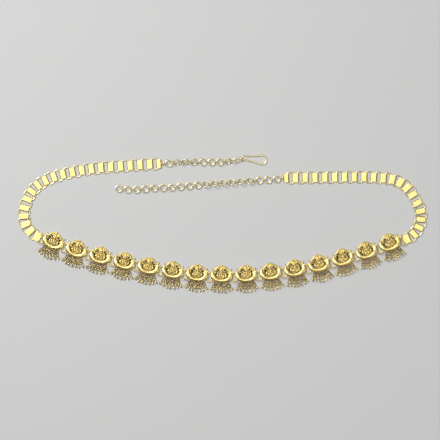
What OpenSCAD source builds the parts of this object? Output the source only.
// Oddiyanam: a waist belt of fifteen cast plaques with a fringe of small balls, two book
// chains, a short chain with a hook and a long chain of rings to hook it on. It is laid out
// on a flat surface. The origin is the middle of the centre plaque's flat back. X runs along
// the belt, Y from the fringe to the tops of the plaques, and Z up from the surface.

/* [Plaques] */
// Width of a plaque across the two lobes of its crescent
plaque_w = 22.8; // [20:0.1:25]
// Height of a plaque from the keel of its crescent to its topmost bead
plaque_h = 17.7; // [15.5:0.1:20]
// Thickness of the backing sheet
back_t = 1.0; // [0.7:0.1:1.6]
// Height of the raised work above the backing sheet
relief_h = 2.2; // [1.4:0.1:3]
// Gap between the crescents of two neighbours
plaque_gap = 1.9; // [1.5:0.05:3]

/* [Plaque rings] */
// Wire of the rings that join the plaques, and of the eyes that they pass through
joint_wire = 0.56; // [0.4:0.02:0.6]
// Half of the distance between the upper and the lower ring of a joint
joint_half = 4.25; // [3.6:0.05:4.6]
// Distance of the joint's middle below the widest line of the plaques
joint_drop = 0.95; // [0.6:0.05:1.2]
// Diameter of a joint ring along the middle of its wire
joint_ring_d = 2.84; // [2.6:0.02:3]
// Diameter of an eye along the middle of its wire
joint_eye_d = 1.9; // [1.8:0.02:2.1]

/* [Fringe] */
// Length of the longest drops, from the rail to the middle of the end ball
fringe_l = 8.7; // [7:0.1:11]
// Diameter of the end balls
end_ball_d = 2.4; // [1.6:0.1:2.6]
// Diameter of the balls of the middle row
mid_ball_d = 1.9; // [1.2:0.1:2]
// Diameter of the balls of the upper row
top_ball_d = 1.6; // [1.2:0.1:1.7]
// Diameter of the granule at the tip of a drop
tip_d = 1.0; // [0.6:0.1:1.4]
// Wire of the rail and of the drops
fringe_wire = 0.5; // [0.4:0.05:0.6]
// Gap between the crescent and the rail under it
rail_gap = 0.3; // [0.15:0.05:0.4]

/* [Book chains] */
// Width of a folded plate
plate_w = 8.6; // [7.5:0.1:9]
// Length of a folded plate along the chain
plate_l = 6.4; // [6.2:0.05:8]
// Thickness of the folded sheet
sheet_t = 0.35; // [0.25:0.05:0.5]
// Wire of the oblong links
book_wire = 1.1; // [0.8:0.05:1.2]
// Width of an oblong link across the chain
link_w = 12.3; // [11.8:0.1:14]
// Length of an oblong link along the chain
link_l = 6.55; // [5.8:0.05:8]
// Radius of an oblong link's corners along the middle of its wire
link_corner = 1.3; // [1:0.1:1.4]
// Play of a wire inside a folded plate
book_play = 0.12; // [0.1:0.01:0.2]
// Length of the end plates that meet the plaques
front_l = 8.0; // [6.5:0.1:10]
// Length of the end plates that meet the ring chains
rear_l = 5.0; // [4.2:0.1:7]

/* [Ring chains] */
// Outer diameter of the large rings
ring_od = 7.3; // [6.6:0.1:9]
// Wire of the large rings
ring_wire = 1.0; // [0.8:0.05:1.1]
// Outer diameter of the small rings between them
small_od = 5.3; // [5:0.1:6]
// Wire of the small rings
small_wire = 0.75; // [0.6:0.05:0.8]
// Clearance between rings that pull on each other
ring_play = 0.12; // [0.1:0.01:0.3]
// Slack of the hook's chain at every ring
hook_slack = 0.25; // [0:0.05:0.6]

/* [Hook] */
// Wire of the hook
hook_wire = 1.5; // [1:0.1:2]
// Length of the hook from the middle of its eye to its bend
hook_l = 25.2; // [20:0.1:32]
// Width inside the hook's bend
hook_gap = 7.4; // [5:0.1:10]
// Diameter of the hook's eye along the middle of its wire
hook_eye_d = 3.5; // [3.4:0.1:5]
// Length of the oval link that carries the hook
oval_l = 8.2; // [7:0.1:12]
// Width of the oval link
oval_w = 4.0; // [3.6:0.1:5]
// Wire of the oval link
oval_wire = 0.9; // [0.6:0.05:1]

/* [Hidden] */
$fn = 40;
plaque_count = 15;
middle_plaque = 8;
book_links = 20;
extender_count = 19;
hook_count = 8;
gold = "#c9a45c";
pale_gold = "#dfc274";
deep_gold = "#a9804a";
// Height at which upright rings stand clear of the surface
floor_gap = 0.03;

// How the belt lies: heading in degrees of each piece, by its number, filled in between
plaque_course = [
    [1, -22], [2, -17], [3, -14], [6, -9], [8, -0.6], [10, 6.5], [11, 10], [13, 15.5], [15, 20]
];
left_course = [
    [0, 153], [1, 133], [2, 113], [3, 93], [4, 76], [5, 67], [6, 54], [7, 39], [8, 26],
    [9, 19], [10, 14], [12, 10], [14, 5], [20, 3]
];
right_course = [
    [0, 24], [1, 44], [2, 64], [3, 84], [4, 104], [5, 118], [6, 122], [7, 134], [8, 151],
    [9, 167], [10, 175], [12, 179], [14, 181], [20, 181]
];
extender_course = [[0, 184], [1, 188], [2, 184], [13, 185], [14, 180], [16, 187], [19, 172]];
hook_course = [[0, 3], [1, 4], [2, 4], [4, 0], [6, 0], [8, 5], [9, 12]];
// How far each large ring is rolled about its chain, by its number
extender_roll = [[0, 0], [3, 0], [4, 35], [7, 45], [9, 40], [10, 0], [19, 0]];
hook_roll = [[0, 0], [1, 0], [2, 42], [3, 42], [4, 25], [5, 0], [7, 0], [8, 40], [9, 20]];

// Plaque: outline
apex_y = 0.64 * plaque_h;
keel_y = -0.36 * plaque_h;
lobe_r = 0.208 * plaque_w;
lobe_x = plaque_w / 2 - lobe_r;
keel_r = 0.68 * plaque_w;
keel_cy = keel_y + keel_r;
keel_top = -0.09 * plaque_h;
keel_half = acos((keel_cy - keel_top) / keel_r);
rim = 0.35;
bowl_r = 0.275 * plaque_w;
bowl_y = keel_y + 0.16 * plaque_h + bowl_r;
keel_band = bowl_y - bowl_r - keel_y;
arch_r = 0.372 * plaque_w;
ogee_h = 0.05 * plaque_h;
bead_r = 0.9;
ogee_top = apex_y - 1.2 * bead_r;
arch_y = apex_y - ogee_h - arch_r;
shoulder = [0.36 * plaque_w, 0.28 * plaque_h];
arch_from = asin((shoulder[1] - arch_y) / arch_r);
bar_end = [0.485 * plaque_w, 0.09 * plaque_h];

// Plaque: joints
pitch = plaque_w + plaque_gap;
joint_r = joint_ring_d / 2;
eye_r = joint_eye_d / 2;
joint_z = joint_r + joint_wire / 2 + floor_gap;
eye_slip = 0.08;
eye_reach = joint_r + eye_slip;
eye_x = pitch / 2 - eye_reach;
joint_up = joint_half - joint_drop;
joint_low = -joint_half - joint_drop;
arm_r = 0.5;

// Plaque: pierced gaps [x / width, y / height, heading, length / width, breadth / width]
pierced = [
    [0.18, 0.31, -44, 0.12, 0.048],
    [0.262, -0.01, 68, 0.135, 0.052],
    [0.088, -0.115, 20, 0.062, 0.042]
];
// Plaque: balls of the figure [x / width, y / height, height / relief, radius / width]
figure_balls = [
    [0, 0.275, 0.5, 0.053],
    [0, 0.535, 0.35, 0.024],
    [0, 0.15, 0.42, 0.068],
    [0, 0.05, 0.25, 0.062],
    [0.15, -0.03, 0.15, 0.046],
    [0.125, 0.085, 0.3, 0.032],
    [0.2, 0.165, 0.3, 0.03],
    [0.215, 0.06, 0.15, 0.052],
    [0, -0.165, 0.25, 0.052],
    [0.095, -0.15, 0.2, 0.046],
    [0.175, -0.105, 0.15, 0.04]
];
// Plaque: rods of the figure [x1, y1, x2, y2, height / relief, radius 1, radius 2 / width]
figure_rods = [
    [0, 0.32, 0, 0.52, 0.35, 0.056, 0.022],
    [0.06, 0.2, 0.123, 0.09, 0.3, 0.025, 0.022],
    [0.123, 0.08, 0.05, 0.01, 0.32, 0.023, 0.02],
    [0.15, -0.03, -0.03, -0.06, 0.15, 0.042, 0.036],
    [0.215, 0.05, 0.2, 0.165, 0.22, 0.03, 0.024]
];

// Fringe: its rail lies level with the middles of the end balls
fringe_z = end_ball_d / 2 + 3 * floor_gap;
rail_r = keel_r + rail_gap + fringe_wire / 2;
rail_half = asin(0.325 * plaque_w / rail_r);
long_drops = 7;
drop_step = 2 * 0.93 * rail_half / (long_drops - 1);
splay = 0.95;
sway = 1.5;
holder_wire = 0.44;
holder_play = 0.12;
holder_r = fringe_wire / 2 + holder_play + holder_wire / 2;

// Book chains
plate_t = book_wire + 2 * book_play + 2 * sheet_t;
plate_z = plate_t / 2;
link_half = (link_l - book_wire) / 2;
link_side = (link_w - book_wire) / 2;
plate_seat = plate_l / 2 - sheet_t - book_play - book_wire / 2;
front_gap = 0.4;
front_seat = front_l + front_gap - sheet_t - book_play - book_wire / 2;
front_notch = eye_r + joint_wire / 2 + eye_slip;
front_bite = 0.4;
rear_seat = rear_l / 2 - sheet_t - book_play - book_wire / 2;

// Ring chains
ring_r = (ring_od - ring_wire) / 2;
small_r = (small_od - small_wire) / 2;
axis_drop = 0.3;
chain_z = small_od / 2 + floor_gap - axis_drop;
ring_reach = sqrt(pow(small_r - small_wire / 2 - ring_wire / 2 - ring_play, 2)
    - pow(axis_drop, 2));
rear_eye_r = 1.1;
rear_eye_wire = 0.7;
rear_eye_z = plate_t;
rear_eye_x = rear_l / 2 + rear_eye_r - rear_eye_wire / 2;
rear_drop = chain_z + axis_drop - rear_eye_z;
rear_ring_x = rear_eye_x + sqrt(pow(small_r, 2) - pow(rear_drop, 2));

// Hook
hook_eye_r = hook_eye_d / 2;
swelling = 0.535 * hook_wire;
oval_half = (oval_l - oval_wire) / 2;
oval_side = (oval_w - oval_wire) / 2;
oval_play = 0.17;
oval_reach = hook_eye_r - hook_wire / 2 - oval_wire / 2 - oval_play;
bend_r = (hook_gap + hook_wire) / 2;
leg_tilt = -15;
eye_turn = 360 - 1.2 * hook_wire / hook_eye_r * 180 / PI;
return_turn = 198;
flare_r = 9;
flare_turn = 24;

function number_name(n) = str(n < 10 ? "0" : "", n);
function plaque_name(n) = str("plaque_", number_name(n));
function fringe_name(n) = str("fringe_", number_name(n));

function toward(a) = [cos(a), sin(a)];
// A small number between -1 and 1 that differs from place to place
function stray(a, b) = sin(137 * a + 61 * b * b + 29 * b);

// The joints' middles lie on one line, the spine, a little below the plaques' widest lines
function plaque_head(n) = lookup(n, plaque_course);
function spine(n) = n == middle_plaque ? -joint_drop * toward(plaque_head(n) + 90)
    : let (s = n > middle_plaque ? 1 : -1)
        spine(n - s) + s * pitch / 2 * (toward(plaque_head(n - s)) + toward(plaque_head(n)));
function joint_xy(n) = spine(n) + pitch / 2 * toward(plaque_head(n));
function joint_head(n) = (plaque_head(n) + plaque_head(min(n + 1, plaque_count))) / 2;

// Book chains: a course, the point where it leaves the plaques, and the piece's number
function link_head(c, k) = (lookup(k - 1, c) + lookup(k, c)) / 2;
function slip(c, k) = plate_w / 2 * tan(abs(lookup(k, c) - lookup(k - 1, c)) / 2);
function seat_out(k) = k == 0 ? front_seat : plate_seat;
function seat_in(k) = k == book_links ? rear_seat : plate_seat;
function plate_xy(c, p, k) = k == 0 ? p
    : link_xy(c, p, k) + link_half * toward(link_head(c, k))
        + (seat_in(k) - slip(c, k)) * toward(lookup(k, c));
function link_xy(c, p, k) = plate_xy(c, p, k - 1)
    + (seat_out(k - 1) - slip(c, k)) * toward(lookup(k - 1, c))
    + link_half * toward(link_head(c, k));

left_start = spine(1) - pitch / 2 * toward(plaque_head(1));
right_start = joint_xy(plaque_count);
left_rear = plate_xy(left_course, left_start, book_links);
right_rear = plate_xy(right_course, right_start, book_links);

// Ring chains: a course, the first small ring's place, the slack and the ring's number
function ring_step(slack) = ring_r + ring_reach - slack / 2;
function ring_xy(c, p, s, k) = small_xy(c, p, s, k - 1) + ring_step(s) * toward(lookup(k, c));
function small_xy(c, p, s, k) = k == 0 ? p
    : ring_xy(c, p, s, k) + ring_step(s) * toward(lookup(k, c));
function between(t, k) = (lookup(k, t) + lookup(k + 1, t)) / 2;
function ring_z(roll) = max(chain_z, ring_r * abs(sin(roll)) + ring_wire / 2 + floor_gap);
function small_z(t, k) = axis_drop + (ring_z(lookup(k, t)) + ring_z(lookup(k + 1, t))) / 2;

hook_start = left_rear + rear_ring_x * toward(lookup(book_links, left_course));
extender_start = right_rear + rear_ring_x * toward(lookup(book_links, right_course));
oval_head = lookup(hook_count + 1, hook_course);
oval_xy = small_xy(hook_course, hook_start, hook_slack, hook_count)
    + (ring_reach + oval_half) * toward(oval_head);
hook_xy = oval_xy + (oval_half + oval_reach) * toward(oval_head);

module torus(r, wire) {
    rotate_extrude() translate([r, 0]) circle(d = wire);
}

// Part of a ring, from one angle through another
module torus_part(r, wire, from, turn) {
    rotate([0, 0, from]) rotate_extrude(angle = turn) translate([r, 0]) circle(d = wire);
}

// A rod that tapers from one radius to another between two points
module rod(a, b, r1, r2) {
    d = b - a;
    translate(a) rotate([0, 90 - asin(d[2] / norm(d)), atan2(d[1], d[0])])
        cylinder(h = norm(d), r1 = r1, r2 = r2);
}

// A closed loop of wire with round corners, long across Y
module wire_loop(half_x, half_y, corner, wire) {
    for (s = [-1, 1]) {
        translate([s * half_x, 0, 0]) rotate([90, 0, 0])
            cylinder(h = 2 * (half_y - corner), d = wire, center = true);
        translate([0, s * half_y, 0]) rotate([0, 90, 0])
            cylinder(h = 2 * (half_x - corner), d = wire, center = true);
        for (t = [-1, 1]) translate([s * (half_x - corner), t * (half_y - corner), 0])
            torus_part(corner, wire, s > 0 ? (t > 0 ? 0 : -90) : (t > 0 ? 90 : 180), 90);
    }
}

module stadium(length, breadth) {
    square([length - breadth, breadth], center = true);
    for (s = [-1, 1]) translate([s * (length - breadth) / 2, 0]) circle(d = breadth);
}

module both_sides() {
    children();
    mirror([1, 0, 0]) children();
}

// Plaque

module crescent_outline() {
    both_sides() translate([lobe_x, 0]) circle(r = lobe_r);
    intersection() {
        translate([0, keel_cy]) circle(r = keel_r);
        translate([-plaque_w / 2, 2 * keel_y]) square([plaque_w, keel_top - 2 * keel_y]);
    }
}

module plaque_outline() {
    crescent_outline();
    translate([0, arch_y]) circle(r = arch_r);
    polygon([[-0.1 * plaque_w, apex_y - 2 * ogee_h], [0, ogee_top],
        [0.1 * plaque_w, apex_y - 2 * ogee_h]]);
    both_sides() polygon([0.95 * shoulder, bar_end, [lobe_x, 0]]);
}

module pierced_gaps() {
    both_sides() for (g = pierced)
        translate([g[0] * plaque_w, g[1] * plaque_h]) rotate(g[2])
            stadium(g[3] * plaque_w, g[4] * plaque_w);
}

// The boat-shaped crescent: two domed lobes and a rounded keel, hollowed by the bowl
module crescent() {
    lobe_h = relief_h + back_t / 2;
    lobe_foot = lobe_r - rim;
    lobe_ball = (pow(lobe_foot, 2) + pow(lobe_h, 2)) / (2 * lobe_h);
    keel_h = 0.6 * relief_h + back_t / 2;
    keel_foot = keel_band / 2 - rim / 2;
    keel_ball = (pow(keel_foot, 2) + pow(keel_h, 2)) / (2 * keel_h);
    translate([0, 0, back_t / 2]) difference() {
        union() {
            both_sides() intersection() {
                translate([lobe_x, 0, lobe_h - lobe_ball]) sphere(r = lobe_ball);
                translate([lobe_x, 0, plaque_w]) cube(2 * plaque_w, center = true);
            }
            translate([0, keel_cy, 0]) rotate([0, 0, -90 - keel_half])
                rotate_extrude(angle = 2 * keel_half) intersection() {
                    translate([keel_r - keel_band / 2 - rim / 2, keel_h - keel_ball])
                        circle(r = keel_ball);
                    square([2 * keel_r, keel_h + 1]);
                }
        }
        translate([0, bowl_y, 0.3 * back_t])
            cylinder(h = relief_h + 1, r1 = bowl_r, r2 = bowl_r + 1.1);
    }
}

module arch() {
    band = 0.032 * plaque_w;
    translate([0, arch_y, back_t + 0.1 * relief_h]) {
        torus_part(arch_r - band - 0.2, 2 * band, arch_from, 180 - 2 * arch_from);
        torus_part(arch_r - 2.7 * band, 0.7 * band, arch_from + 4, 172 - 2 * arch_from);
    }
    translate([0, 0, 0.3]) linear_extrude(back_t + 0.3 * relief_h)
        polygon([[-0.06 * plaque_w, apex_y - 2 * ogee_h], [0, ogee_top],
            [0.06 * plaque_w, apex_y - 2 * ogee_h]]);
    translate([0, apex_y - bead_r, back_t]) sphere(r = bead_r);
}

// Spikes and slanting bars at the shoulders
module shoulders() {
    spike_end = [0.405 * plaque_w, 0.4 * plaque_h];
    z = back_t + 0.1 * relief_h;
    thick = 0.035 * plaque_w;
    both_sides() {
        rod([shoulder[0], shoulder[1], z], [spike_end[0], spike_end[1], z], thick, thick / 2);
        translate([spike_end[0], spike_end[1], z]) sphere(r = 0.6 * thick);
        rod([shoulder[0] - thick / 2, shoulder[1] + thick / 4, z],
            [bar_end[0], bar_end[1], z], 0.7 * thick, 0.63 * thick);
    }
}

module figure() {
    for (b = figure_balls) for (s = b[0] == 0 ? [1] : [-1, 1])
        translate([s * b[0] * plaque_w, b[1] * plaque_h, back_t + b[2] * relief_h])
            sphere(r = b[3] * plaque_w);
    for (r = figure_rods) for (s = r[0] == 0 ? [1] : [-1, 1])
        rod([s * r[0] * plaque_w, r[1] * plaque_h, back_t + r[4] * relief_h],
            [s * r[2] * plaque_w, r[3] * plaque_h, back_t + r[4] * relief_h],
            r[5] * plaque_w, r[6] * plaque_w);
}

// Eyes for the joint rings, each on a short arm, and small rings that hold the fringe's rail
module plaque_eyes() {
    both_sides() {
        translate([eye_x, joint_up, joint_z]) torus(eye_r, joint_wire);
        translate([eye_x, joint_low, joint_z]) torus(eye_r, joint_wire);
        rod([lobe_x + 0.5 * lobe_r, -0.6 * lobe_r, 0.7 * joint_z],
            [eye_x - 0.75 * eye_r, joint_low + 0.75 * eye_r, joint_z], arm_r, 0.8 * arm_r);
        rod([bar_end[0] - 1.2 * arm_r, bar_end[1] - 0.8 * arm_r, 0.7 * joint_z],
            [eye_x - 0.2 * eye_r, joint_up - eye_r, joint_z], arm_r, 0.7 * arm_r);
    }
    for (a = [-2.25, -0.75, 0.75, 2.25]) translate([0, keel_cy, fringe_z])
        rotate([0, 0, -90 + a * drop_step]) translate([rail_r, 0, 0])
            rotate([90, 0, 0]) torus(holder_r, holder_wire);
}

module at_plaque(n) {
    head = plaque_head(n);
    translate(spine(n)) rotate([0, 0, head]) translate([0, joint_drop, 0]) children();
}

module plaque(n) {
    color(gold) at_plaque(n) {
        difference() {
            union() {
                linear_extrude(back_t) plaque_outline();
                crescent();
                arch();
            }
            translate([0, 0, -1]) linear_extrude(back_t + relief_h + 2) pierced_gaps();
        }
        shoulders();
        figure();
        plaque_eyes();
    }
}

// Two rings at every joint, upright through the eyes of both neighbours
module plaque_rings() {
    color(deep_gold) for (n = [1:plaque_count - 1]) translate(joint_xy(n))
        rotate([0, 0, joint_head(n)]) joint_rings();
    color(deep_gold) translate(right_start)
        rotate([0, 0, (plaque_head(plaque_count) + lookup(0, right_course)) / 2]) joint_rings();
    color(deep_gold) translate(left_start)
        rotate([0, 0, (plaque_head(1) + 180 + lookup(0, left_course)) / 2]) joint_rings();
}

module joint_rings() {
    for (s = [-1, 1]) translate([0, s * joint_half, joint_z]) rotate([90, 0, 0])
        torus(joint_r, joint_wire);
}

// Fringe

// A drop hanging from the rail along its own axis: balls at some distances, and a granule
module drop(length, balls, end_d) {
    rotate([0, 90, 0]) rotate_extrude() intersection() {
        translate([0, -1]) square([end_d, length + 2 * end_d + 1]);
        union() {
            translate([-fringe_wire / 2, 0]) square([fringe_wire, length]);
            for (b = balls) translate([0, b[0]]) circle(d = b[1]);
            translate([0, length]) circle(d = end_d);
            translate([0, length + end_d / 2 + 0.3 * tip_d]) circle(d = tip_d);
        }
    }
}

module fringe(n) {
    color(deep_gold) at_plaque(n) translate([0, keel_cy, fringe_z]) {
        torus_part(rail_r, fringe_wire, -90 - rail_half, 2 * rail_half);
        for (k = [0:long_drops - 1]) {
            a = (k - (long_drops - 1) / 2) * drop_step;
            long = fringe_l * (1 - 0.08 * pow(a / rail_half, 2) + 0.03 * stray(n, k));
            rotate([0, 0, a - 90]) translate([rail_r, 0, 0])
                rotate([0, 0, (splay - 1) * a + sway * stray(k, n)])
                    drop(long, [[0.24 * fringe_l, top_ball_d]], end_ball_d);
        }
        for (k = [0:long_drops - 2]) {
            a = (k - (long_drops - 2) / 2) * drop_step;
            rotate([0, 0, a - 90]) translate([rail_r, 0, 0])
                rotate([0, 0, (splay - 1) * a + sway * stray(n + 5, k)])
                    drop(0.61 * fringe_l, [], mid_ball_d);
        }
    }
}

// Book chains

// Sheet folded into a flat tube, open at both sides
module folded_plate(length, hollow_from, hollow_to) {
    rotate([90, 0, 0]) linear_extrude(plate_w, center = true) difference() {
        stadium(length, plate_t);
        translate([(hollow_from + hollow_to) / 2, 0])
            stadium(hollow_to - hollow_from, plate_t - 2 * sheet_t);
    }
}

module book_plates(c, p) {
    hollow = plate_l / 2 - sheet_t;
    color(pale_gold) for (k = [1:book_links - 1])
        translate(concat(plate_xy(c, p, k), plate_z)) rotate([0, 0, lookup(k, c)])
            folded_plate(plate_l, -hollow, hollow);
}

module book_links(c, p) {
    color(pale_gold) for (k = [1:book_links])
        translate(concat(link_xy(c, p, k), plate_z)) rotate([0, 0, link_head(c, k)])
            wire_loop(link_half, link_side, link_corner, book_wire);
}

// End plate beside a plaque: eyes at two corners, and a hollow for the first oblong link
module front_plate(c, p) {
    hollow = front_l / 2 - sheet_t;
    notch_end = eye_reach + eye_r + joint_wire / 2 - front_bite;
    color(pale_gold) translate(concat(p, 0)) rotate([0, 0, lookup(0, c)]) {
        difference() {
            translate([front_gap + front_l / 2, 0, plate_z])
                folded_plate(front_l, hollow - plate_l / 2, hollow);
            for (s = [-1, 1]) translate([-1, s * joint_half - front_notch, -1])
                cube([1 + notch_end, 2 * front_notch, plate_t + 2]);
        }
        for (s = [-1, 1]) translate([eye_reach, s * joint_half, joint_z])
            torus(eye_r, joint_wire);
    }
}

// End plate beside a ring chain: a hollow for the last oblong link, and one eye
module rear_plate(c, p) {
    hollow = rear_l / 2 - sheet_t;
    color(pale_gold) translate(concat(plate_xy(c, p, book_links), 0))
        rotate([0, 0, lookup(book_links, c)]) {
            translate([0, 0, plate_z]) folded_plate(rear_l, -hollow, 0);
            translate([rear_eye_x, 0, rear_eye_z]) torus(rear_eye_r, rear_eye_wire);
        }
}

// Ring chains

module large_rings(c, roll, p, slack, count) {
    color(pale_gold) for (k = [1:count])
        translate(concat(ring_xy(c, p, slack, k), ring_z(lookup(k, roll))))
            rotate([0, 0, lookup(k, c)]) rotate([lookup(k, roll), 0, 0])
                torus(ring_r, ring_wire);
}

module small_rings(c, roll, p, slack, last) {
    color(gold) for (k = [0:last])
        translate(concat(small_xy(c, p, slack, k), small_z(roll, k)))
            rotate([0, 0, between(c, k)]) rotate([90 + between(roll, k), 0, 0])
                torus(small_r, small_wire);
}

module oval_link() {
    color(pale_gold) translate(concat(oval_xy, chain_z)) rotate([0, 0, oval_head])
        wire_loop(oval_half, oval_side, oval_side - 0.1, oval_wire);
}

// Hook, bent from one wire: upright eye, lower leg, round bend, upper leg and flared tip
module hook() {
    leg_run = (hook_l - bend_r) / cos(leg_tilt) + bend_r * sin(leg_tilt);
    $fn = 64;
    color(pale_gold) translate(concat(hook_xy, swelling)) rotate([0, 0, leg_tilt]) {
        rotate([0, 0, oval_head - leg_tilt]) translate([0, 0, hook_eye_r]) rotate([90, 0, 0])
            torus_part(hook_eye_r, hook_wire, -90 - eye_turn, eye_turn);
        translate([0.12 * hook_wire, 0, 0]) sphere(r = swelling);
        rotate([0, 90, 0]) cylinder(h = leg_run, d = hook_wire);
        translate([leg_run, bend_r, 0]) {
            torus_part(bend_r, hook_wire, -90, return_turn);
            rotate([0, 0, return_turn]) translate([0, -bend_r, 0]) hook_return();
        }
    }
}

// The upper leg and its tip, with small swellings where the wire was hammered
module hook_return() {
    back_run = 0.55 * hook_l;
    sphere(r = swelling);
    rotate([0, 90, 0]) cylinder(h = back_run, d = hook_wire);
    translate([back_run, 0, 0]) sphere(r = swelling);
    translate([back_run, -flare_r, 0]) {
        torus_part(flare_r, hook_wire, 90 - flare_turn, flare_turn);
        rotate([0, 0, -flare_turn]) translate([0, flare_r, 0]) sphere(r = swelling);
    }
}

for (n = [1:plaque_count]) plaque(n);
for (n = [1:plaque_count]) fringe(n);
plaque_rings();
front_plate(left_course, left_start);  // left_front_plate
book_links(left_course, left_start);  // left_book_links
book_plates(left_course, left_start);  // left_book_plates
rear_plate(left_course, left_start);  // left_rear_plate
front_plate(right_course, right_start);  // right_front_plate
book_links(right_course, right_start);  // right_book_links
book_plates(right_course, right_start);  // right_book_plates
rear_plate(right_course, right_start);  // right_rear_plate
large_rings(hook_course, hook_roll, hook_start, hook_slack, hook_count);  // hook_chain_rings
small_rings(hook_course, hook_roll, hook_start, hook_slack, hook_count);  // hook_chain_links
oval_link();
hook();
large_rings(extender_course, extender_roll, extender_start, 0, extender_count);  // extender_rings
small_rings(extender_course, extender_roll, extender_start, 0, extender_count - 1);  // extender_links
